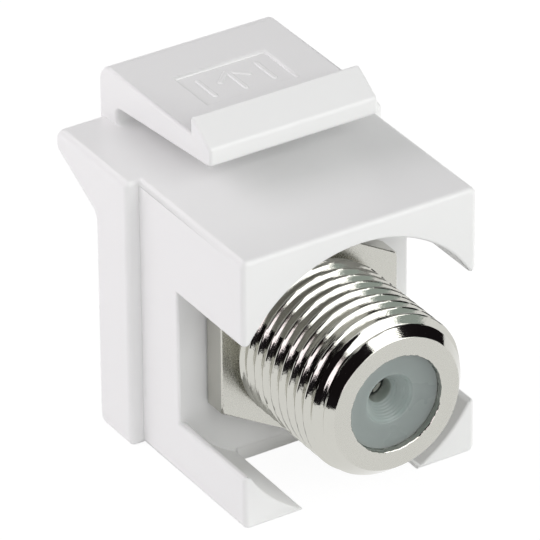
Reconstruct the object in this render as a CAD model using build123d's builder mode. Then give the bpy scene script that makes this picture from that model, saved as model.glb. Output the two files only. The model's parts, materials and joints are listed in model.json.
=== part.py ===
"""F connector panel insert: a threaded coaxial coupler held in a snap-in moulding.

Millimetres. The origin is on the axis of the coupler, in the plane where the back
plate bears on the panel. The port that shows at the front points along -Y, +X is
the width and +Z is up, with the latch on top. Plane.XZ faces -Y, so a distance
along its offsets and extrusions counts towards the front.
"""

import os
from math import cos, radians, tan

from build123d import *

# Moulding in front of the panel, and the plate behind it
body_width = 14.6
body_above = 9.15
body_below = 7.3
body_reach = 10.3
plate_shoulder = 0.8
plate_depth = 3.35
nose_overhang = 4.05
nose_end = 1.3
nose_slope = 28.0
long_edge_round = 0.4
end_edge_round = 0.3
plate_corner_round = 0.6
nose_round = 0.7
nose_tip_round = 0.55

# Cavity round the front port
cavity_radius = 8.0
cavity_depth = 6.6
web_thickness = 3.4
window_half_height = 4.05
gap_half_width = 3.7
wall_foot_run = 0.55
wall_foot_rise = 0.65

# Latch, one with the moulding
latch_width = 10.5
latch_rise = 3.15
post_thickness = 1.75
arm_root_gap = 1.05
arm_tip_gap = 1.95
catch_reach = 1.95
catch_height = 1.1
catch_length = 1.95
tip_face_height = 1.05
latch_back_round = 1.1
latch_crotch_round = 0.45
post_foot_round = 0.45
post_foot_run = 0.8
crest_round = 0.12
latch_tip_round = 0.35
latch_edge_round = 0.2
pad_width = 5.6
pad_length = 3.3
pad_depth = 0.15
pad_set_back = 1.9

# Coupler shell, turned from hexagonal bar
thread_diameter = 9.525
thread_pitch = 0.79375
shell_flats = 11.11
shell_hex_thickness = 1.6
shell_first_corner = 30.0
shell_corner_trim = 0.08
front_port_reach = 8.48
rear_port_reach = 12.3
end_chamfer_length = 1.06
end_chamfer_depth = 0.86
lip_radius = 2.82
lip_thickness = 0.5
core_bore_radius = 3.4

# Plastic cores in the shell
dish_radius = 1.45
dish_depth = 0.15
funnel_length = 1.05
pin_hole_radius = 0.7
pin_hole_length = 0.5

# Spring contact through both cores
contact_radius = 1.1
contact_wall = 0.22
contact_mouth_radius = 0.42
contact_taper_length = 1.6
contact_slots = 4
contact_slot_width = 0.3
contact_slot_length = 3.2
collar_radius = 1.7
collar_width = 1.0

# Nut on the back of the wall
nut_flats = 11.11
nut_thickness = 2.4
nut_first_corner = 0.0
nut_corner_trim = 0.3

# Clearances
coupler_clearance = 0.1
core_clearance = 0.02
thread_clearance = 0.02
pocket_clearance = 0.15
contact_clearance = 0.1
contact_end_gap = 0.3
port_clearance = 0.15

# Places along the axis, positive towards the back, and sizes that follow
thread_radius = thread_diameter / 2
pitch_radius = thread_radius - 3 / 8 * cos(radians(30)) * thread_pitch
body_height = body_above + body_below
body_middle = (body_above - body_below) / 2
plate_width = body_width + 2 * plate_shoulder
nose_back = plate_depth + nose_overhang
nose_root = body_above - nose_end - nose_overhang * tan(radians(nose_slope))
wall_face = cavity_depth - body_reach
pocket_floor = wall_face + web_thickness
hex_face = wall_face - shell_hex_thickness
shell_front = hex_face - front_port_reach
shell_back = wall_face + rear_port_reach
shell_middle = (shell_front + shell_back) / 2
hex_middle = (hex_face + wall_face) / 2
rear_port_start = plate_depth + port_clearance
core_front = shell_front + lip_thickness
core_radius = core_bore_radius - core_clearance
contact_room = core_front + dish_depth + funnel_length + pin_hole_length
contact_front = contact_room + contact_end_gap

os.makedirs("parts", exist_ok=True)


def turned_hexagon(front, thickness, flats, trim, first_corner):
    """A hexagonal prism along Y, its corners turned back by a cone at both faces."""
    corner_radius = flats / 2 / cos(radians(30))
    face_radius = corner_radius - trim
    with BuildPart() as blank:
        with BuildSketch(Plane.XZ.offset(-front)):
            RegularPolygon(corner_radius, 6, rotation=first_corner)
        extrude(amount=-thickness)
        with BuildSketch(Plane.XY):
            with BuildLine():
                Polyline(
                    (0, front),
                    (face_radius, front),
                    (corner_radius, front + trim),
                    (corner_radius, front + thickness - trim),
                    (face_radius, front + thickness),
                    (0, front + thickness),
                    close=True,
                )
            make_face()
        revolve(axis=Axis.Y, mode=Mode.INTERSECT)
    return blank.part


# Back plate, with the nose that reaches back over the wall to carry the latch
with BuildPart() as plate_form:
    with BuildSketch(Plane.YZ):
        with BuildLine():
            FilletPolyline(
                (0, -body_below),
                (plate_depth, -body_below),
                (plate_depth, nose_root),
                (nose_back, body_above - nose_end),
                (nose_back, body_above),
                (0, body_above),
                radius=[0, plate_corner_round, plate_corner_round, nose_tip_round, nose_round, 0],
                close=True,
            )
        make_face()
    extrude(amount=plate_width / 2, both=True)
    plate_sides = plate_form.faces().filter_by(Axis.X)
    edges_behind_front = plate_sides.edges().sort_by(Axis.Y)[2:]
    fillet(edges_behind_front, long_edge_round)
    plate_front = plate_form.faces().sort_by(Axis.Y)[0]
    fillet(plate_front.edges(), end_edge_round)

# Latch: post, arm and catch in one side profile
latch_top = body_above + latch_rise
arm_underside_tip = body_above + arm_tip_gap
latch_tip = -catch_reach - catch_length
post_face = nose_back - post_thickness
post_foot = body_above - nose_end / 2
foot_front = post_face - post_foot_run

with BuildPart() as latch_form:
    with BuildSketch(Plane.YZ):
        with BuildLine():
            FilletPolyline(
                (foot_front, post_foot),
                (nose_back, post_foot),
                (nose_back, latch_top),
                (-catch_reach, latch_top),
                (-catch_reach, latch_top + catch_height),
                (latch_tip, arm_underside_tip + tip_face_height),
                (latch_tip, arm_underside_tip),
                (post_face, body_above + arm_root_gap),
                (post_face, body_above),
                (foot_front, body_above),
                radius=[
                    0,
                    0,
                    latch_back_round,
                    0,
                    crest_round,
                    latch_tip_round,
                    latch_tip_round,
                    latch_crotch_round,
                    post_foot_round,
                    0,
                ],
                close=True,
            )
        make_face()
    extrude(amount=latch_width / 2, both=True)
    fillet(latch_form.faces().filter_by(Axis.X).edges(), latch_edge_round)

with BuildPart() as housing:
    with BuildSketch(Plane.XZ.offset(-plate_depth / 2)):
        with Locations((0, body_middle)):
            RectangleRounded(body_width, body_height, long_edge_round)
    extrude(amount=body_reach + plate_depth / 2)
    body_end = housing.faces().sort_by(Axis.Y)[0]
    fillet(body_end.edges(), end_edge_round)
    add(plate_form.part)
    add(latch_form.part)

    # Round cavity, windows through the sides and gap between the lower prongs
    with BuildSketch(Plane.XZ.offset(-wall_face)):
        Circle(cavity_radius)
        Rectangle(2 * plate_width, 2 * window_half_height)
        with Locations((0, -body_height)):
            Rectangle(2 * gap_half_width, 2 * body_height)
    extrude(amount=2 * cavity_depth, mode=Mode.SUBTRACT)

    # Rounded foot where the wall meets the underside
    with BuildSketch(Plane.YZ):
        foot_top = (wall_face, wall_foot_rise - body_below)
        foot_tip = (wall_face - wall_foot_run, -body_below)
        with BuildLine():
            TangentArc(foot_top, foot_tip, tangent=(0, -1))
            Polyline(foot_tip, (wall_face, -body_below), foot_top)
        make_face()
    extrude(amount=gap_half_width, both=True)

    # Passage for the coupler, and the hexagonal pocket that keeps the nut from turning
    with BuildSketch(Plane.XZ.offset(-wall_face)):
        Circle(thread_radius + coupler_clearance)
    extrude(amount=-2 * web_thickness, mode=Mode.SUBTRACT)
    with BuildSketch(Plane.XZ.offset(-pocket_floor)):
        RegularPolygon(
            nut_flats / 2 + pocket_clearance, 6, major_radius=False, rotation=nut_first_corner
        )
    extrude(amount=-nose_back, mode=Mode.SUBTRACT)

    # Sunk pad on the latch
    with BuildSketch(Plane.XY.offset(latch_top)):
        with Locations((0, pad_set_back)):
            Rectangle(pad_width, pad_length)
    extrude(amount=-pad_depth, mode=Mode.SUBTRACT)

housing.part.label = "housing"
export_step(housing.part, "parts/housing.step")

# Shell: a threaded port each side of the hexagon, with a lip over each core. Within
# the wall and the nut the thread is cut to its pitch radius, and full size beyond.
shell_hexagon = turned_hexagon(
    hex_face, shell_hex_thickness, shell_flats, shell_corner_trim, shell_first_corner
)

with BuildPart() as coupler_shell:
    with BuildSketch(Plane.XY):
        with BuildLine():
            Polyline(
                (0, shell_front),
                (thread_radius - end_chamfer_depth, shell_front),
                (thread_radius, shell_front + end_chamfer_length),
                (thread_radius, hex_middle),
                (pitch_radius, hex_middle),
                (pitch_radius, rear_port_start),
                (thread_radius, rear_port_start),
                (thread_radius, shell_back - end_chamfer_length),
                (thread_radius - end_chamfer_depth, shell_back),
                (0, shell_back),
                close=True,
            )
        make_face()
    revolve(axis=Axis.Y)
    add(shell_hexagon)
    with BuildSketch(Plane.XY):
        with BuildLine():
            Polyline(
                (0, shell_front),
                (lip_radius, shell_front),
                (lip_radius, core_front),
                (core_bore_radius, core_front),
                (core_bore_radius, shell_back - lip_thickness),
                (lip_radius, shell_back - lip_thickness),
                (lip_radius, shell_back),
                (0, shell_back),
                close=True,
            )
        make_face()
    revolve(axis=Axis.Y, mode=Mode.SUBTRACT)

coupler_shell.part.label = "coupler_shell"
export_step(coupler_shell.part, "parts/coupler_shell.step")

# Cores: a dished face, a funnel to the pin hole, and room for the contact behind it
with BuildPart() as front_insulator:
    with BuildSketch(Plane.XY):
        with BuildLine():
            Polyline(
                (core_radius, core_front),
                (lip_radius, core_front),
                (dish_radius, core_front + dish_depth),
                (pin_hole_radius, core_front + dish_depth + funnel_length),
                (pin_hole_radius, contact_room),
                (contact_radius + contact_clearance, contact_room),
                (contact_radius + contact_clearance, shell_middle - collar_width / 2),
                (collar_radius + contact_clearance, shell_middle - collar_width / 2),
                (collar_radius + contact_clearance, shell_middle),
                (core_radius, shell_middle),
                close=True,
            )
        make_face()
    revolve(axis=Axis.Y)

front_insulator.part.label = "front_insulator"
export_step(front_insulator.part, "parts/front_insulator.step")

middle_plane = Plane.XZ.offset(-shell_middle)

with BuildPart() as rear_insulator:
    mirror(front_insulator.part, about=middle_plane)

rear_insulator.part.label = "rear_insulator"
export_step(rear_insulator.part, "parts/rear_insulator.step")

# Contact: a tube with a collar held between the cores and sprung fingers at each end
with BuildPart() as centre_contact:
    with BuildSketch(Plane.XY):
        with BuildLine():
            Polyline(
                (contact_mouth_radius, contact_front),
                (contact_mouth_radius + contact_wall, contact_front),
                (contact_radius, contact_front + contact_taper_length),
                (contact_radius, shell_middle - collar_width / 2),
                (collar_radius, shell_middle - collar_width / 2),
                (collar_radius, shell_middle),
                (contact_radius - contact_wall, shell_middle),
                (contact_radius - contact_wall, contact_front + contact_taper_length),
                close=True,
            )
        make_face()
    revolve(axis=Axis.Y)
    with BuildSketch(Plane.XZ.offset(-contact_front)):
        with PolarLocations(contact_radius, contact_slots):
            Rectangle(2 * contact_radius, contact_slot_width)
    extrude(amount=-contact_slot_length, mode=Mode.SUBTRACT)
    mirror(about=middle_plane)

centre_contact.part.label = "centre_contact"
export_step(centre_contact.part, "parts/centre_contact.step")

# Nut: flats level with the pocket's, drawn up on the back of the wall
nut_blank = turned_hexagon(
    pocket_floor, nut_thickness, nut_flats, nut_corner_trim, nut_first_corner
)

with BuildPart() as retaining_nut:
    add(nut_blank)
    with BuildSketch(Plane.XZ.offset(-pocket_floor)):
        Circle(pitch_radius + thread_clearance)
    extrude(amount=-nut_thickness, mode=Mode.SUBTRACT)

retaining_nut.part.label = "retaining_nut"
export_step(retaining_nut.part, "parts/retaining_nut.step")
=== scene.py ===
"""F connector panel insert, as it stands in a studio on a white floor.

Metres, in the part's own frame: the origin on the axis of the coupler, in the plane
where the back plate bears on the panel. The front port points along -Y, +X is the
width, +Z is up.
"""

import json
from math import cos, pi, radians, sin, tan

import bmesh
import bpy
import numpy as np
from mathutils import Matrix, Vector


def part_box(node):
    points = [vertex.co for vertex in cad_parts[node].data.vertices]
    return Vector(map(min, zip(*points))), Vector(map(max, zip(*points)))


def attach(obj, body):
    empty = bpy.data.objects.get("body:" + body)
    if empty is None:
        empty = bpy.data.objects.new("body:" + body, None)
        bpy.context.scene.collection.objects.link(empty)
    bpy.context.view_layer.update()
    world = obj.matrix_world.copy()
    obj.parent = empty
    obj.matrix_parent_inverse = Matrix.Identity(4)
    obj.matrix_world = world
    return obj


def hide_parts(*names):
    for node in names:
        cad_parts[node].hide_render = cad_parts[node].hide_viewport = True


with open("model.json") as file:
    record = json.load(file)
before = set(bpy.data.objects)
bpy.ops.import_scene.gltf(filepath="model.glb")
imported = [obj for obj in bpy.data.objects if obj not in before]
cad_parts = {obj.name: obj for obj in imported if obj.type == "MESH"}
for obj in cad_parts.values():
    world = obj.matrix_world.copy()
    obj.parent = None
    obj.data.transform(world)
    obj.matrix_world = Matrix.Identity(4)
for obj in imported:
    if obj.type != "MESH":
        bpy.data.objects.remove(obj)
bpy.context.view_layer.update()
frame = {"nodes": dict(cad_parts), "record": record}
mm = 0.001

# The camera stands a third of a metre off, to the left of the front port and above
# it, with a long lens, as the photograph was taken. Its axis passes close to the
# origin, and it leans by half a degree.
view_azimuth = radians(-31.98)
view_elevation = radians(30.94)
view_lean = radians(-0.5)
view_distance = 344.46 * mm
view_across = 0.704 * mm
view_up = 1.087 * mm
focal_length = 425.5

towards_camera = Vector((
    sin(view_azimuth) * cos(view_elevation),
    -cos(view_azimuth) * cos(view_elevation),
    sin(view_elevation),
))
level_right = Vector((0, 0, 1)).cross(towards_camera).normalized()
level_up = towards_camera.cross(level_right)
lens = bpy.data.cameras.new("photo_camera")
lens.lens = focal_length
lens.sensor_width = 36.0
lens.clip_start = 0.01
lens.clip_end = 50.0
camera = bpy.data.objects.new("photo_camera", lens)
bpy.context.scene.collection.objects.link(camera)
camera_right = level_right * cos(view_lean) + level_up * sin(view_lean)
camera_up = level_up * cos(view_lean) - level_right * sin(view_lean)
place = towards_camera * view_distance + level_right * view_across + level_up * view_up
camera.matrix_world = Matrix.Translation(place) @ Matrix(
    (camera_right, camera_up, towards_camera)
).transposed().to_4x4()
bpy.context.scene.camera = camera
bpy.context.scene.view_settings.view_transform = "Standard"


# The floor is a white table top that runs out of sight. It throws light back like
# white paper. Where it is seen, most of its white is its own, so that the shadow of
# the object stays faint on it.
floor_reach = 3.0
floor_whiteness = 0.93
floor_glow = 0.92
floor_shading = 0.14
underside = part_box("housing")[0].z


def new_material(name):
    """An empty node material, its tree, and its output node."""
    made = bpy.data.materials.new(name)
    made.use_nodes = True
    made.node_tree.nodes.clear()
    return made, made.node_tree, made.node_tree.nodes.new("ShaderNodeOutputMaterial")


def larger(tree, first, second):
    """The larger of two values."""
    most = tree.nodes.new("ShaderNodeMath")
    most.operation = "MAXIMUM"
    tree.links.new(first, most.inputs[0])
    tree.links.new(second, most.inputs[1])
    return most.outputs[0]


def seen_ray(tree):
    """1 for camera, glossy and transmission rays, and 0 for rays that carry light."""
    path = tree.nodes.new("ShaderNodeLightPath")
    mirrored = larger(tree, path.outputs["Is Camera Ray"], path.outputs["Is Glossy Ray"])
    return larger(tree, mirrored, path.outputs["Is Transmission Ray"])


floor_paint, tree, output = new_material("white_floor")
paper = tree.nodes.new("ShaderNodeBsdfDiffuse")
paper.inputs["Color"].default_value = (floor_whiteness, floor_whiteness, floor_whiteness, 1)
shaded = tree.nodes.new("ShaderNodeBsdfDiffuse")
shaded.inputs["Color"].default_value = (floor_shading, floor_shading, floor_shading, 1)
glow = tree.nodes.new("ShaderNodeEmission")
glow.inputs["Strength"].default_value = floor_glow
seen = tree.nodes.new("ShaderNodeAddShader")
tree.links.new(shaded.outputs[0], seen.inputs[0])
tree.links.new(glow.outputs[0], seen.inputs[1])
either = tree.nodes.new("ShaderNodeMixShader")
tree.links.new(seen_ray(tree), either.inputs["Fac"])
tree.links.new(paper.outputs[0], either.inputs[1])
tree.links.new(seen.outputs[0], either.inputs[2])
tree.links.new(either.outputs[0], output.inputs["Surface"])

floor_mesh = bpy.data.meshes.new("floor")
floor_mesh.from_pydata(
    [
        (-floor_reach, -floor_reach, underside),
        (floor_reach, -floor_reach, underside),
        (floor_reach, floor_reach, underside),
        (-floor_reach, floor_reach, underside),
    ],
    [],
    [(0, 1, 2, 3)],
)
floor_mesh.materials.append(floor_paint)
floor = bpy.data.objects.new("floor", floor_mesh)
bpy.context.scene.collection.objects.link(floor)


# The light comes from large soft boxes: one low on the right, one close by on the left
# and behind, one over the front and one low at the back. A white room fills the rest.
room_level = 0.45


def soft_box(name, azimuth, elevation, distance, width, height, level, colour):
    """An area lamp that faces the object. Azimuth 0 is in front of the port, positive
    is right, and all angles are in degrees. Width and height are as the object sees
    them, and the face has the given radiance."""
    lamp = bpy.data.lights.new(name, "AREA")
    lamp.shape = "RECTANGLE"
    lamp.size = 2 * distance * tan(radians(width) / 2)
    lamp.size_y = 2 * distance * tan(radians(height) / 2)
    lamp.energy = level * pi * lamp.size * lamp.size_y
    lamp.color = colour
    made = bpy.data.objects.new(name, lamp)
    bpy.context.scene.collection.objects.link(made)
    away = Vector((
        sin(radians(azimuth)) * cos(radians(elevation)),
        -cos(radians(azimuth)) * cos(radians(elevation)),
        sin(radians(elevation)),
    ))
    made.location = away * distance
    made.rotation_euler = (-away).to_track_quat("-Z", "Y").to_euler()
    made.visible_camera = False
    made.visible_glossy = False


soft_box(
    "right_softbox", azimuth=60, elevation=8, distance=0.5,
    width=62, height=15, level=3.5, colour=(0.985, 1.0, 0.97),
)
soft_box(
    "left_softbox", azimuth=-122, elevation=34, distance=0.18,
    width=50, height=32, level=2.4, colour=(1.0, 0.945, 0.985),
)
soft_box(
    "front_softbox", azimuth=2, elevation=36, distance=0.5,
    width=48, height=24, level=2.4, colour=(0.985, 1.0, 0.98),
)
soft_box(
    "back_softbox", azimuth=180, elevation=12, distance=0.5,
    width=62, height=20, level=0.4, colour=(1.0, 1.0, 1.0),
)

world = bpy.data.worlds.new("studio")
world.use_nodes = True
bpy.context.scene.world = world
tree = world.node_tree
tree.nodes.clear()
level = tree.nodes.new("ShaderNodeMix")
level.inputs["A"].default_value = room_level
level.inputs["B"].default_value = 1.0
tree.links.new(seen_ray(tree), level.inputs["Factor"])
sky = tree.nodes.new("ShaderNodeBackground")
tree.links.new(level.outputs["Result"], sky.inputs["Strength"])
sky.inputs["Color"].default_value = (1, 1, 1, 1)
output = tree.nodes.new("ShaderNodeOutputWorld")
tree.links.new(sky.outputs[0], output.inputs["Surface"])


# Cards round the table give the bright metal its bands, and only reflections show them.
# Black cloth runs all round, with a white card to the right of the camera, a green-grey
# one below it, another white one at the back, a brown-grey wall and a pale strip.
card_step = radians(4)
cloth_black = (0.010, 0.008, 0.009)
edge_black = (0.012, 0.010, 0.012)
wall_brown = (0.20, 0.170, 0.155)


def card(name, azimuths, elevations, distance, colour, strength):
    """A patch of a ball of the given radius, from the first azimuth and elevation to
    the last, in degrees. Azimuth 0 is in front of the port, and positive is right."""
    wide, high = (
        np.linspace(*np.radians(span), 2 + int(np.ptp(np.radians(span)) / card_step))
        for span in (azimuths, elevations)
    )
    azimuth, elevation = np.meshgrid(wide, high)
    points = distance * np.stack(
        (
            np.sin(azimuth) * np.cos(elevation),
            -np.cos(azimuth) * np.cos(elevation),
            np.sin(elevation),
        ),
        axis=-1,
    ).reshape(-1, 3)
    rows, columns = np.meshgrid(
        np.arange(len(high) - 1), np.arange(len(wide) - 1), indexing="ij"
    )
    here = rows * len(wide) + columns
    above = here + len(wide)
    faces = np.stack((here, here + 1, above + 1, above), axis=-1).reshape(-1, 4)
    mesh = bpy.data.meshes.new(name)
    mesh.from_pydata(points.tolist(), [], faces.tolist())
    paint, tree, output = new_material(name)
    light = tree.nodes.new("ShaderNodeEmission")
    light.inputs["Color"].default_value = (*colour, 1)
    light.inputs["Strength"].default_value = strength
    tree.links.new(light.outputs[0], output.inputs["Surface"])
    mesh.materials.append(paint)
    made = bpy.data.objects.new(name, mesh)
    bpy.context.scene.collection.objects.link(made)
    made.visible_camera = False
    made.visible_diffuse = False
    made.visible_transmission = False
    made.visible_shadow = False


card("black_cloth", (-180, 180), (6, 64), 0.9, cloth_black, 1.0)
card("low_cloth", (-120, -30), (-1, 7), 0.85, cloth_black, 1.0)
card("white_card", (-7, 57), (15, 68), 0.6, (1.0, 1.0, 0.985), 2.6)
card("green_card", (38, 60), (5, 20), 0.5, (0.40, 0.46, 0.43), 1.0)
card("right_cloth", (72, 112), (-3, 8), 0.1, cloth_black, 1.0)
card("back_card", (168, 212), (33, 60), 0.6, (1.0, 1.0, 1.0), 1.8)
card("grey_wall", (-20, 14), (9, 15), 0.7, wall_brown, 1.0)
card("pale_strip", (-38, -5), (-4, 12), 0.65, (1.0, 0.91, 0.97), 1.9)
card("table_edge", (-80, -17), (-12, 2), 0.05, edge_black, 1.0)


# The housing is one injection moulding in white ABS, with a satin skin from the
# mould. Its solid keeps its form here, and its sharp edges get the small round that
# a mould leaves. Points nearer than a hair are one point.
hair = 0.001 * mm
corner_round = 0.45 * mm
edge_round = 0.15 * mm
edge_steps = 4
edge_corner = radians(45)
corner_reach = 0.01 * mm
foot_height = 0.5 * mm
flat_turn = radians(0.5)
crease = radians(28)
abs_white = (0.90, 0.90, 0.90)
abs_roughness = 0.34
gloss_swing = 0.03
mottle_fade = 0.985
skin_grain = 0.06 * mm
skin_height = 0.0009 * mm
mottle_size = 4.0 * mm


def solid_copy(node, name):
    """A merged copy of a node's loose triangles, with flat areas as single faces. The
    outward edges above the foot whose faces turn by more than edge_corner are marked for
    rounding, and the upright ones at the front for the larger round of the corners."""
    mesh = frame["nodes"][node].data.copy()
    mesh.name = name
    work = bmesh.new()
    work.from_mesh(mesh)
    bmesh.ops.remove_doubles(work, verts=work.verts, dist=hair)
    bmesh.ops.dissolve_limit(work, angle_limit=flat_turn, verts=work.verts, edges=work.edges)
    share = work.edges.layers.float.new("bevel_weight_edge")
    front = min(corner.co.y for corner in work.verts)
    for edge in work.edges:
        on_floor = all(corner.co.z < underside + foot_height for corner in edge.verts)
        at_front = all(corner.co.y < front + corner_reach for corner in edge.verts)
        run = edge.verts[1].co - edge.verts[0].co
        upright = run.xy.length < corner_reach
        if edge.is_convex and not on_floor and edge.calc_face_angle(0.0) > edge_corner:
            edge[share] = 1.0 if at_front and upright else edge_round / corner_round
    work.to_mesh(mesh)
    work.free()
    made = bpy.data.objects.new(name, mesh)
    bpy.context.scene.collection.objects.link(made)
    mesh.materials.clear()
    mesh.shade_smooth()
    mesh.set_sharp_from_angle(angle=crease)
    return made


def add_bump(tree, height, depth, previous=None):
    """A Bump node: the height runs from 0 to 1 and stands for the depth in metres."""
    bump = tree.nodes.new("ShaderNodeBump")
    bump.inputs["Strength"].default_value = 1.0
    bump.inputs["Distance"].default_value = depth
    tree.links.new(height, bump.inputs["Height"])
    if previous is not None:
        tree.links.new(previous, bump.inputs["Normal"])
    return bump.outputs["Normal"]


def grain(tree, place, size, detail=2.0):
    """Noise with grains of the given size in metres, on the object's own place."""
    noise = tree.nodes.new("ShaderNodeTexNoise")
    noise.inputs["Scale"].default_value = 1.0 / size
    noise.inputs["Detail"].default_value = detail
    tree.links.new(place, noise.inputs["Vector"])
    return noise.outputs["Fac"]


def spread(tree, value, low, high):
    """A value from 0 to 1 carried to the range from low to high."""
    carried = tree.nodes.new("ShaderNodeMapRange")
    carried.inputs["To Min"].default_value = low
    carried.inputs["To Max"].default_value = high
    tree.links.new(value, carried.inputs["Value"])
    return carried.outputs["Result"]


def tint(tree, value, first, second):
    """A colour between two, by a value from 0 to 1."""
    mix = tree.nodes.new("ShaderNodeMix")
    mix.data_type = "RGBA"
    mix.inputs["A"].default_value = (*first, 1)
    mix.inputs["B"].default_value = (*second, 1)
    tree.links.new(value, mix.inputs["Factor"])
    return mix.outputs["Result"]


def moulded_abs():
    """White ABS: a fine skin of low grains, a faint mottle in colour and gloss."""
    made, tree, output = new_material("white_abs")
    shader = tree.nodes.new("ShaderNodeBsdfPrincipled")
    place = tree.nodes.new("ShaderNodeTexCoord").outputs["Object"]
    mottle = grain(tree, place, mottle_size)
    darker = tuple(mottle_fade * part for part in abs_white)
    tree.links.new(tint(tree, mottle, darker, abs_white), shader.inputs["Base Color"])
    gloss = spread(tree, mottle, abs_roughness - gloss_swing, abs_roughness + gloss_swing)
    tree.links.new(gloss, shader.inputs["Roughness"])
    skin = add_bump(tree, grain(tree, place, skin_grain), skin_height)
    tree.links.new(skin, shader.inputs["Normal"])
    shader.inputs["IOR"].default_value = 1.5
    tree.links.new(shader.outputs[0], output.inputs["Surface"])
    return made


white_abs = moulded_abs()
housing = solid_copy("housing", "housing_moulding")
housing.data.materials.append(white_abs)
soften = housing.modifiers.new("mould_edges", "BEVEL")
soften.width = corner_round
soften.segments = edge_steps
soften.limit_method = "WEIGHT"
soften.use_clamp_overlap = False
join = housing.modifiers.new("joined_points", "WELD")
join.merge_threshold = hair
flatten = housing.modifiers.new("flat_faces", "WEIGHTED_NORMAL")
flatten.keep_sharp = True
flatten.weight = 100
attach(housing, "root")
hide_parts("housing")


# The latch's pad carries a mark for the side that goes up, raised in the same shot of
# plastic: a rounded bead round the pad, and an arrow between two bars.
catch_height = 1.1 * mm
latch_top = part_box("housing")[1].z - catch_height
pad_middle = 1.9 * mm
pad_half_width = 2.8 * mm
pad_half_length = 1.65 * mm
pad_depth = 0.15 * mm
pad_root = 0.05 * mm
bead_width = 0.26 * mm
bead_proud = 0.05 * mm
pad_wall = 0.05 * mm
edge_run = 0.1 * bead_width
edge_lift = 0.004 * mm
sharp_turn = radians(50)
stroke_width = 0.56 * mm
stroke_side = 0.20 * mm
stroke_height = 0.15 * mm
mark_cell = 0.025 * mm
mark_strokes = [
    ((0.0, -1.0 * mm), (0.0, 0.95 * mm)),
    ((-0.9 * mm, 0.15 * mm), (0.0, 1.0 * mm)),
    ((0.9 * mm, 0.15 * mm), (0.0, 1.0 * mm)),
    ((-1.85 * mm, -0.9 * mm), (-1.85 * mm, 0.9 * mm)),
    ((1.85 * mm, -0.9 * mm), (1.85 * mm, 0.9 * mm)),
]


def stroke_distance(x, y, start, end):
    """How far each point lies from the line between two points."""
    run_x, run_y = end[0] - start[0], end[1] - start[1]
    share = ((x - start[0]) * run_x + (y - start[1]) * run_y) / (run_x**2 + run_y**2)
    share = np.clip(share, 0, 1)
    return np.hypot(x - start[0] - share * run_x, y - start[1] - share * run_y)


def rounded_ridge(distance, width, height):
    """A ridge with a round top and soft feet: a cosine bell across its width."""
    return height * (0.5 + 0.5 * np.cos(np.clip(distance / (width / 2), 0, 1) * pi))


def eased(value):
    """0 below 0, 1 above 1, and a half turn of a cosine between."""
    return 0.5 - 0.5 * np.cos(np.clip(value, 0, 1) * pi)


def centred_steps(half_length, cell):
    """Equal steps of about a cell from -half_length to half_length."""
    return np.linspace(-half_length, half_length, 1 + round(2 * half_length / cell))


def relief_plate(name, x, y, top, bottom):
    """A closed plate: its top is at top[i, j] over x[j] and y[i], its bottom is flat,
    and the outermost ring of points drops from the one to the other."""
    wide, long = np.meshgrid(x, y)
    count_y, count_x = top.shape
    lower = np.stack((wide, long, np.full_like(top, bottom)), axis=-1).reshape(-1, 3)
    upper = np.stack((wide, long, top), axis=-1).reshape(-1, 3)
    row, column = np.meshgrid(np.arange(count_y - 1), np.arange(count_x - 1), indexing="ij")
    here = (row * count_x + column).ravel()
    up = np.stack((here, here + 1, here + 1 + count_x, here + count_x), axis=-1)
    down = up[:, ::-1] + count_x * count_y
    south = np.arange(count_x - 1)
    east = np.arange(count_y - 1) * count_x + count_x - 1
    north = (count_y - 1) * count_x + np.arange(count_x - 1, 0, -1)
    west = np.arange(count_y - 1, 0, -1) * count_x
    rim = np.concatenate((south, east, north, west))
    after = np.roll(rim, -1)
    sides = np.stack((rim, rim + count_x * count_y, after + count_x * count_y, after), axis=-1)
    mesh = bpy.data.meshes.new(name)
    mesh.from_pydata(
        np.concatenate((upper, lower)).tolist(), [], np.concatenate((up, down, sides)).tolist()
    )
    mesh.validate()
    mesh.shade_smooth()
    made = bpy.data.objects.new(name, mesh)
    bpy.context.scene.collection.objects.link(made)
    return made


mark_x = centred_steps(pad_half_width + bead_width, mark_cell)
mark_y = pad_middle + centred_steps(pad_half_length + bead_width, mark_cell)
across, along = np.meshgrid(mark_x, mark_y - pad_middle)
inset = np.minimum(pad_half_width - np.abs(across), pad_half_length - np.abs(along))
sunk = pad_depth * eased(inset / pad_wall)
bead = rounded_ridge(inset + bead_width / 2, bead_width, bead_proud)
nearest = np.min(
    [stroke_distance(across, along, start, end) for start, end in mark_strokes], axis=0
)
strokes = stroke_height * eased((stroke_width / 2 - nearest) / stroke_side)
strokes = np.where(inset > 0, strokes, 0.0)
lift = edge_lift * (np.clip((inset + bead_width) / edge_run, 0, 1) - 0.5)
mark_top = latch_top - sunk + bead + strokes + lift
mark = relief_plate("latch_mark", mark_x, mark_y, mark_top, latch_top - pad_depth - pad_root)
mark.data.set_sharp_from_angle(angle=sharp_turn)
mark.data.materials.append(white_abs)
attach(mark, "root")


# The coupler shell is turned and threaded from hexagonal brass bar and plated with
# bright nickel. Its hexagon bears on the housing's wall, and a lip at each end holds
# the plastic core. Both ports carry a right-hand thread of 32 turns to the inch.
mounts = {mount["name"]: mount for mount in frame["record"]["mounts"]}
thread_radius = mounts["front_port"]["dims"]["r_mm"] * mm
turns_per_inch = 32
thread_pitch = 25.4 / turns_per_inch * mm
thread_depth = 0.6134 * thread_pitch
crest_share = 0.125
flank_slope = tan(radians(60))
root_softness = 0.02
shell_low, shell_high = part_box("coupler_shell")
shell_front = shell_low.y
shell_back = shell_high.y
front_length = mounts["front_port"]["dims"]["length_mm"] * mm
front_start = mounts["front_port"]["pos_m"][1] - front_length / 2
hex_face = front_start + front_length
rear_length = mounts["rear_port"]["dims"]["length_mm"] * mm
rear_start = mounts["rear_port"]["pos_m"][1] - rear_length / 2
rear_end = rear_start + rear_length
hex_flats = shell_high.x - shell_low.x
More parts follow.
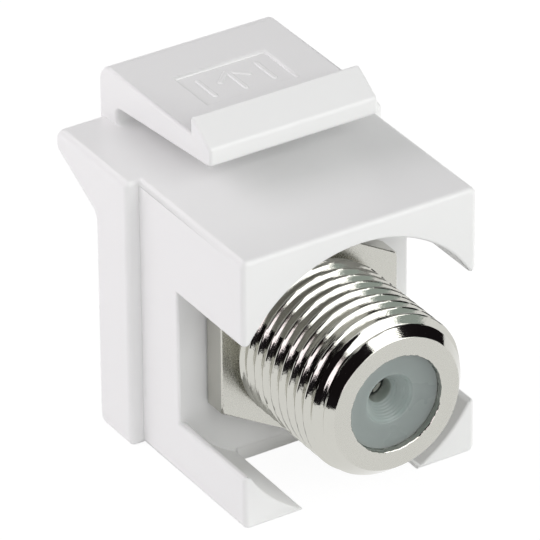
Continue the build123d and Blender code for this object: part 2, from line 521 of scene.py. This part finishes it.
hex_corner = hex_flats / 2 / cos(radians(30))
hex_thickness = 1.6 * mm
hex_back = hex_face + hex_thickness
hex_trim = 0.08 * mm
hex_groove = 0.16 * mm
hex_groove_side = 0.3 * hex_groove
hex_groove_depth = 0.6 * mm
hex_break = 0.05 * mm
end_radius = thread_radius - 0.86 * mm
lip_radius = 2.82 * mm
lip_thickness = 0.5 * mm
bore_edge = 0.075 * mm
bore_edge_depth = 0.05 * mm
burr_reach = 0.6 * bore_edge
burr_height = 0.012 * mm
burr_waves = (17, 41)
burr_shift = 1.0
core_bore = 3.4 * mm
engaged_radius = 4.5 * mm
inside_radius = engaged_radius - 0.4 * mm
relief_length = 0.5 * mm
relief_floor = 0.2 * mm
fade_length = 0.55 * mm
corner_soft = 0.05 * mm
join_reach = 0.0002 * mm
shell_turns = 144
rows_per_pitch = 21
hidden_row = 0.8 * mm
nickel = (0.60, 0.595, 0.55)
nickel_fade = 0.96
nickel_patch = 1.2 * mm
patch_detail = 3.0
bright_roughness = (0.05, 0.10)
satin_roughness = (0.23, 0.31)
satin_speckle = 0.07 * mm
face_reach = 0.015 * mm
flat_margin = 0.02 * mm
ring_spacing = 0.06 * mm
ring_height = 0.0007 * mm
peel_size = 0.14 * mm
peel_height = 0.0036 * mm
fine_detail = 4.0


def softened(corners, reach):
    """A closed profile with each corner drawn as a short parabola: it leaves the line
    before the corner and joins the line after it, reach away or a third of the line."""
    corners = np.asarray(corners, float)
    back = np.roll(corners, 1, axis=0) - corners
    ahead = np.roll(corners, -1, axis=0) - corners
    back_length = np.linalg.norm(back, axis=1, keepdims=True)
    ahead_length = np.linalg.norm(ahead, axis=1, keepdims=True)
    begin = corners + back / back_length * np.minimum(reach, back_length / 3)
    end = corners + ahead / ahead_length * np.minimum(reach, ahead_length / 3)
    share = np.array([0.0, 0.25, 0.5, 0.75, 1.0])[None, :, None]
    arcs = (
        (1 - share) ** 2 * begin[:, None]
        + 2 * share * (1 - share) * corners[:, None]
        + share**2 * end[:, None]
    )
    return arcs.reshape(-1, 2)


def divided(points, longest):
    """A closed profile with each line cut into equal parts no longer than longest, which
    is one length, or one for each line."""
    ahead = np.roll(points, -1, axis=0)
    counts = np.ceil(np.linalg.norm(ahead - points, axis=1) / longest).astype(int)
    counts = np.maximum(counts, 1)
    which = np.repeat(np.arange(len(points)), counts)
    step = np.arange(len(which)) - np.repeat(np.cumsum(counts) - counts, counts)
    share = (step / counts[which])[:, None]
    return points[which] * (1 - share) + ahead[which] * share


def ring_piece(name, along, radius, angle):
    """A closed surface round the Y axis: row i and turn j give the point at along[i, j]
    on the axis, radius[i, j] from it, and angle[j] round from +Z towards +X. Points that
    fall together, as at a hexagon's edge, are merged."""
    points = np.stack(
        (radius * np.sin(angle), np.broadcast_to(along, radius.shape), radius * np.cos(angle)),
        axis=-1,
    )
    count, turns = radius.shape
    row, turn = np.meshgrid(np.arange(count), np.arange(turns), indexing="ij")
    next_row = (row + 1) % count
    next_turn = (turn + 1) % turns
    faces = np.stack(
        (
            row * turns + turn,
            row * turns + next_turn,
            next_row * turns + next_turn,
            next_row * turns + turn,
        ),
        axis=-1,
    ).reshape(-1, 4)
    a, b, c, d = (points.reshape(-1, 3)[faces[:, k]] for k in range(4))
    volume = np.einsum("ij,ij->i", a, np.cross(b, c) + np.cross(c, d)).sum()
    if volume < 0:
        faces = faces[:, ::-1]
    mesh = bpy.data.meshes.new(name)
    mesh.vertices.add(count * turns)
    mesh.vertices.foreach_set("co", points.astype(np.float32).ravel())
    mesh.loops.add(faces.size)
    mesh.loops.foreach_set("vertex_index", faces.astype(np.int32).ravel())
    mesh.polygons.add(len(faces))
    mesh.polygons.foreach_set("loop_start", np.arange(0, faces.size, 4, dtype=np.int32))
    mesh.update(calc_edges=True)
    work = bmesh.new()
    work.from_mesh(mesh)
    bmesh.ops.remove_doubles(work, verts=work.verts, dist=join_reach)
    work.to_mesh(mesh)
    work.free()
    mesh.validate()
    mesh.shade_smooth()
    made = bpy.data.objects.new(name, mesh)
    bpy.context.scene.collection.objects.link(made)
    return made


def turn_angles(turns):
    """Equal steps once round the axis."""
    return np.linspace(0, 2 * pi, turns, endpoint=False)


def hexagon(angle, flats, first_corner):
    """The radius of a hexagon at each angle: half its width across the flats, over the
    cosine of the angle from the middle of the nearest flat."""
    from_flat = (angle - first_corner) % (pi / 3) - pi / 6
    return flats / 2 / np.cos(from_flat)


def thread_cut(along, angle, end):
    """How deep a right-hand thread is cut: the crest is flat, the flanks slope at 60
    degrees from the axis, and the root is round. It fades towards the given end."""
    turn = along / thread_pitch - angle / (2 * pi)
    from_crest = np.abs(turn - np.round(turn))
    flank = flank_slope * (from_crest - crest_share / 2) * thread_pitch
    soft = root_softness * thread_pitch
    root = thread_depth - soft * np.log1p(np.exp((thread_depth - flank) / soft))
    cut = np.maximum(root, 0.0)
    return cut * np.clip((end - along) / fade_length, 0, 1)


def axis_distance(tree, place):
    """The distance from the Y axis and the place along it, in metres."""
    parts = tree.nodes.new("ShaderNodeSeparateXYZ")
    tree.links.new(place, parts.inputs[0])
    flat = tree.nodes.new("ShaderNodeCombineXYZ")
    tree.links.new(parts.outputs["X"], flat.inputs["X"])
    tree.links.new(parts.outputs["Z"], flat.inputs["Z"])
    length = tree.nodes.new("ShaderNodeVectorMath")
    length.operation = "LENGTH"
    tree.links.new(flat.outputs[0], length.inputs[0])
    return length.outputs["Value"], parts.outputs["Y"]


def tool_rings(tree, distance, spacing):
    """Rings left by a turning tool: a sine of the distance from the axis."""
    turns = tree.nodes.new("ShaderNodeMath")
    turns.operation = "MULTIPLY"
    turns.inputs[1].default_value = 2 * pi / spacing
    tree.links.new(distance, turns.inputs[0])
    wave = tree.nodes.new("ShaderNodeMath")
    wave.operation = "SINE"
    tree.links.new(turns.outputs[0], wave.inputs[0])
    half = tree.nodes.new("ShaderNodeMapRange")
    half.inputs["From Min"].default_value = -1.0
    tree.links.new(wave.outputs[0], half.inputs["Value"])
    return half.outputs["Result"]


def near_place(tree, value, place, reach):
    """1 where a value lies within reach of a place, and 0 elsewhere."""
    near = tree.nodes.new("ShaderNodeMath")
    near.operation = "COMPARE"
    near.inputs[1].default_value = place
    near.inputs[2].default_value = reach
    tree.links.new(value, near.inputs[0])
    return near.outputs[0]


def plated_nickel():
    """Bright nickel on turned brass, with fine rings from the tool and a slight orange
    peel. The flat faces across the axis are satin, with a speckle. The hexagon's flats
    are the drawn bar's own, so they have no rings."""
    made, tree, output = new_material("bright_nickel")
    shader = tree.nodes.new("ShaderNodeBsdfPrincipled")
    shader.inputs["Metallic"].default_value = 1.0
    place = tree.nodes.new("ShaderNodeTexCoord").outputs["Object"]
    patches = grain(tree, place, nickel_patch, patch_detail)
    duller = tuple(nickel_fade * part for part in nickel)
    tree.links.new(tint(tree, patches, duller, nickel), shader.inputs["Base Color"])
    distance, along = axis_distance(tree, place)
    flat_faces = near_place(tree, along, shell_front, face_reach)
    for face_place in (hex_face, shell_back):
        flat_faces = larger(tree, flat_faces, near_place(tree, along, face_place, face_reach))
    satin = tree.nodes.new("ShaderNodeMix")
    tree.links.new(flat_faces, satin.inputs["Factor"])
    tree.links.new(spread(tree, patches, *bright_roughness), satin.inputs["A"])
    speckle = grain(tree, place, satin_speckle, fine_detail)
    tree.links.new(spread(tree, speckle, *satin_roughness), satin.inputs["B"])
    tree.links.new(satin.outputs["Result"], shader.inputs["Roughness"])
    hex_middle = (hex_face + hex_back) / 2
    on_bar = near_place(tree, along, hex_middle, hex_thickness / 2 - flat_margin)
    turned = tree.nodes.new("ShaderNodeMix")
    turned.inputs["B"].default_value = 0.5
    tree.links.new(on_bar, turned.inputs["Factor"])
    tree.links.new(tool_rings(tree, distance, ring_spacing), turned.inputs["A"])
    rings = add_bump(tree, turned.outputs["Result"], ring_height)
    peel = add_bump(tree, grain(tree, place, peel_size, fine_detail), peel_height, rings)
    tree.links.new(peel, shader.inputs["Normal"])
    tree.links.new(shader.outputs[0], output.inputs["Surface"])
    return made


shell_corners = [
    (shell_front + bore_edge_depth, lip_radius),
    (shell_front, lip_radius + bore_edge),
    (shell_front, end_radius),
    (front_start, thread_radius),
    (hex_face - relief_length, thread_radius),
    (hex_face - relief_floor, thread_radius - thread_depth),
    (hex_face, thread_radius - thread_depth),
    (hex_face, hex_corner - hex_trim),
    (hex_face + hex_trim, hex_corner),
    (hex_back - hex_trim, hex_corner),
    (hex_back, hex_corner - hex_trim),
    (hex_back, engaged_radius),
    (rear_start, engaged_radius),
    (rear_start, thread_radius),
    (rear_end, thread_radius),
    (shell_back, end_radius),
    (shell_back, lip_radius + bore_edge),
    (shell_back - bore_edge_depth, lip_radius),
    (shell_back - lip_thickness, lip_radius),
    (shell_back - lip_thickness, core_bore),
    (shell_front + lip_thickness, core_bore),
    (shell_front + lip_thickness, lip_radius),
]
shell_angle = turn_angles(shell_turns)
shell_outline = softened(shell_corners, corner_soft)

# Rows are long inside the wall and behind the cores, where nothing shows them.
line_ends = np.stack((shell_outline, np.roll(shell_outline, -1, axis=0)))
first_along = line_ends[:, :, 0].min(axis=0)
last_along = line_ends[:, :, 0].max(axis=0)
last_radius = line_ends[:, :, 1].max(axis=0)
at_wall = (first_along > hex_back - hair) & (last_along < rear_start + hair)
at_core = (
    (last_radius < core_bore + hair)
    & (first_along > shell_front + lip_thickness - hair)
    & (last_along < shell_back - lip_thickness + hair)
)
row_length = np.where(at_wall | at_core, hidden_row, thread_pitch / rows_per_pitch)
shell_profile = divided(shell_outline, row_length)
shell_along = shell_profile[:, :1]
outline_radius = shell_profile[:, 1:]
shell_radius = np.repeat(outline_radius, shell_turns, axis=1)

# The edge of each bore carries an uneven burr, the sum of two waves round it.
burr = burr_height * (
    np.sin(burr_waves[0] * shell_angle) + np.sin(burr_waves[1] * shell_angle + burr_shift)
)
on_bore_edge = np.abs(outline_radius - lip_radius - bore_edge / 2) < burr_reach
shell_radius = np.where(on_bore_edge, shell_radius + burr, shell_radius)

# The hexagon's flats cut into the round outline, with a groove at the back.
outside = outline_radius > inside_radius
on_hexagon = outside & (shell_along > hex_face - hair) & (shell_along < hex_back + hair)
from_back = (shell_along - hex_back + hex_groove) / hex_groove_side
from_face = (hex_face + hex_break - shell_along) / hex_break
flat_radius = (
    hexagon(shell_angle, hex_flats, 0.0)
    - hex_groove_depth * np.clip(from_back, 0, 1)
    - hex_break * np.clip(from_face, 0, 1)
)
shell_radius = np.where(on_hexagon, np.minimum(shell_radius, flat_radius), shell_radius)

# Both threads are cut into the outline, the rear one as it is seen from its own end.
before = shell_along < hex_face - hair
beyond = shell_along > rear_start - hair
front_cut = thread_cut(shell_along, shell_angle, hex_face - relief_length / 2)
rear_cut = thread_cut(-shell_along, -shell_angle, -rear_start + fade_length)
cut_radius = thread_radius - np.where(before, front_cut, rear_cut)
threaded = outside & (before | beyond)
shell_radius = np.where(threaded, np.minimum(shell_radius, cut_radius), shell_radius)

shell = ring_piece("threaded_shell", shell_along, shell_radius, shell_angle)
shell.data.set_sharp_from_angle(angle=sharp_turn)
nickel_plate = plated_nickel()
shell.data.materials.append(nickel_plate)
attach(shell, "root")
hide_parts("coupler_shell")


# Each port's core is a grey, slightly clear plastic insulator, pressed in behind the
# lip. Its face is dished, and a funnel with fine tool rings guides the centre wire
# into the pin hole. Besides the light that the thin plastic lets through, the funnel
# and the pin hole's wall are painted brighter, as painted light.
core_grey = (0.30, 0.34, 0.33)
# Painted light: the pin hole's wall is painted this brighter grey so that the hole reads lit.
painted_hole_light = (0.37, 0.41, 0.38)
core_fade = 0.95
# Painted light: the funnel is painted this much brighter than the face.
funnel_light_gain = 1.35
core_mottle = 2.0 * mm
core_roughness = (0.24, 0.32)
cut_spacing = 0.10 * mm
cut_height = 0.010 * mm
core_grain = 0.05 * mm
core_grain_height = 0.001 * mm
dish_rise = 0.12 * mm
dish_power = 2.5
dish_steps = 12
dish_radius = 1.45 * mm
dish_depth = 0.15 * mm
funnel_length = 1.05 * mm
funnel_blend = 0.08 * mm
pin_hole_radius = 0.7 * mm
hole_blend = (0.05 * mm, 0.01 * mm)
mouth_gap = 0.03 * mm
contact_bore = 1.2 * mm
lip_gap = 0.01 * mm
core_row = 0.12 * mm
core_turns = 144


def grey_core():
    """Grey insulator: satin, faintly clear, with a fine mottle. Its funnel and the wall of its
    pin hole are painted a brighter grey, as painted light.
    """
    made, tree, output = new_material("grey_core")
    shader = tree.nodes.new("ShaderNodeBsdfPrincipled")
    place = tree.nodes.new("ShaderNodeTexCoord").outputs["Object"]
    mottle = grain(tree, place, core_mottle)
    darker = tuple(core_fade * part for part in core_grey)
    painted_funnel_light = tuple(funnel_light_gain * part for part in core_grey)
    distance = axis_distance(tree, place)[0]
    # Painted light: inside the pin hole the wall is painted a brighter grey.
    hole_light_mask = tree.nodes.new("ShaderNodeMapRange")
    hole_light_mask.inputs["From Min"].default_value = pin_hole_radius + hole_blend[0]
    hole_light_mask.inputs["From Max"].default_value = pin_hole_radius + hole_blend[1]
    tree.links.new(distance, hole_light_mask.inputs["Value"])
    painted_hole_mix = tree.nodes.new("ShaderNodeMix")
    painted_hole_mix.data_type = "RGBA"
    painted_hole_mix.inputs["B"].default_value = (*painted_hole_light, 1)
    tree.links.new(hole_light_mask.outputs["Result"], painted_hole_mix.inputs["Factor"])
    # Painted light: the funnel is painted a brighter grey than the dished face.
    in_funnel = tree.nodes.new("ShaderNodeMapRange")
    in_funnel.inputs["From Min"].default_value = dish_radius
    in_funnel.inputs["From Max"].default_value = dish_radius - funnel_blend
    tree.links.new(distance, in_funnel.inputs["Value"])
    painted_funnel_mix = tree.nodes.new("ShaderNodeMix")
    painted_funnel_mix.data_type = "RGBA"
    painted_funnel_mix.inputs["B"].default_value = (*painted_funnel_light, 1)
    tree.links.new(in_funnel.outputs["Result"], painted_funnel_mix.inputs["Factor"])
    tree.links.new(tint(tree, mottle, darker, core_grey), painted_funnel_mix.inputs["A"])
    tree.links.new(painted_funnel_mix.outputs["Result"], painted_hole_mix.inputs["A"])
    tree.links.new(painted_hole_mix.outputs["Result"], shader.inputs["Base Color"])
    tree.links.new(spread(tree, mottle, *core_roughness), shader.inputs["Roughness"])
    cuts = tree.nodes.new("ShaderNodeMath")
    cuts.operation = "MULTIPLY"
    tree.links.new(tool_rings(tree, distance, cut_spacing), cuts.inputs[0])
    tree.links.new(in_funnel.outputs["Result"], cuts.inputs[1])
    rings = add_bump(tree, cuts.outputs[0], cut_height)
    fine = add_bump(tree, grain(tree, place, core_grain), core_grain_height, rings)
    tree.links.new(fine, shader.inputs["Normal"])
    shader.inputs["IOR"].default_value = 1.46
    shader.inputs["Subsurface Weight"].default_value = 0.8
    shader.inputs["Subsurface Radius"].default_value = (0.9, 1.0, 0.98)
    shader.inputs["Subsurface Scale"].default_value = 1.0 * mm
    tree.links.new(shader.outputs[0], output.inputs["Surface"])
    return made


core_plastic = grey_core()
core_angle = turn_angles(core_turns)
core_lip = lip_radius - lip_gap
contact_low, contact_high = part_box("centre_contact")
for node, name, inwards in (
    ("front_insulator", "front_core", 1.0),
    ("rear_insulator", "rear_core", -1.0),
):
    low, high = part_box(node)
    face, far = (low.y, high.y) if inwards > 0 else (high.y, low.y)
    contact_tip = contact_low.y if inwards > 0 else contact_high.y
    mouth = contact_tip - inwards * mouth_gap
    rim = (high.x - low.x) / 2
    dish = [
        (
            face + inwards * (dish_depth - (dish_depth + dish_rise) * share**dish_power),
            dish_radius + share * (core_lip - dish_radius),
        )
        for share in np.linspace(1, 0, dish_steps)
    ]
    core_corners = [
        (face, rim),
        (face, core_lip),
        *dish,
        (face + inwards * (dish_depth + funnel_length), pin_hole_radius),
        (mouth, pin_hole_radius),
        (mouth, contact_bore),
        (far, contact_bore),
        (far, rim),
    ]
    core_profile = divided(softened(core_corners, corner_soft), core_row)
    core_radius = np.repeat(core_profile[:, 1:], core_turns, axis=1)
    core = ring_piece(name, core_profile[:, :1], core_radius, core_angle)
    core.data.set_sharp_from_angle(angle=sharp_turn)
    core.data.materials.append(core_plastic)
    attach(core, "root")
    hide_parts(node)


# The centre contact is a bronze tube with sprung fingers at both ends. Its collar is
# held between the two cores, and its tips show through the pin holes.
contact = frame["nodes"]["centre_contact"]
bronze_grey = (0.58, 0.60, 0.54)
bronze_pale = (0.66, 0.67, 0.60)
bronze_roughness = (0.40, 0.50)
drawn_grain = 0.3 * mm


def spring_bronze():
    """Tinned phosphor bronze, dull and grey, with a fine drawn grain."""
    made, tree, output = new_material("spring_bronze")
    shader = tree.nodes.new("ShaderNodeBsdfPrincipled")
    shader.inputs["Metallic"].default_value = 0.4
    place = tree.nodes.new("ShaderNodeTexCoord").outputs["Object"]
    drawn = grain(tree, place, drawn_grain)
    tree.links.new(tint(tree, drawn, bronze_grey, bronze_pale), shader.inputs["Base Color"])
    tree.links.new(spread(tree, drawn, *bronze_roughness), shader.inputs["Roughness"])
    tree.links.new(shader.outputs[0], output.inputs["Surface"])
    return made


contact.data.materials.clear()
contact.data.materials.append(spring_bronze())


# The retaining nut is cut from hexagonal bar, plated like the shell, and drawn up on
# the rear thread. Its flats lie in the housing's pocket, so it can't turn.
nut_low, nut_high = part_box("retaining_nut")
nut_flats = nut_high.z - nut_low.z
nut_corner = nut_flats / 2 / cos(radians(30))
nut_trim = 0.3 * mm
nut_bore = engaged_radius + 0.02 * mm
nut_row = 0.1 * mm
nut_turns = 216
nut_corners = [
    (nut_low.y, nut_bore),
    (nut_low.y, nut_corner - nut_trim),
    (nut_low.y + nut_trim, nut_corner),
    (nut_high.y - nut_trim, nut_corner),
    (nut_high.y, nut_corner - nut_trim),
    (nut_high.y, nut_bore),
]
nut_profile = divided(softened(nut_corners, corner_soft), nut_row)
nut_angle = turn_angles(nut_turns)
nut_radius = np.repeat(nut_profile[:, 1:], nut_turns, axis=1)
nut_radius = np.minimum(nut_radius, hexagon(nut_angle, nut_flats, pi / 6))
nut = ring_piece("hexagon_nut", nut_profile[:, :1], nut_radius, nut_angle)
nut.data.set_sharp_from_angle(angle=sharp_turn)
nut.data.materials.append(nickel_plate)
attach(nut, "root")
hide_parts("retaining_nut")
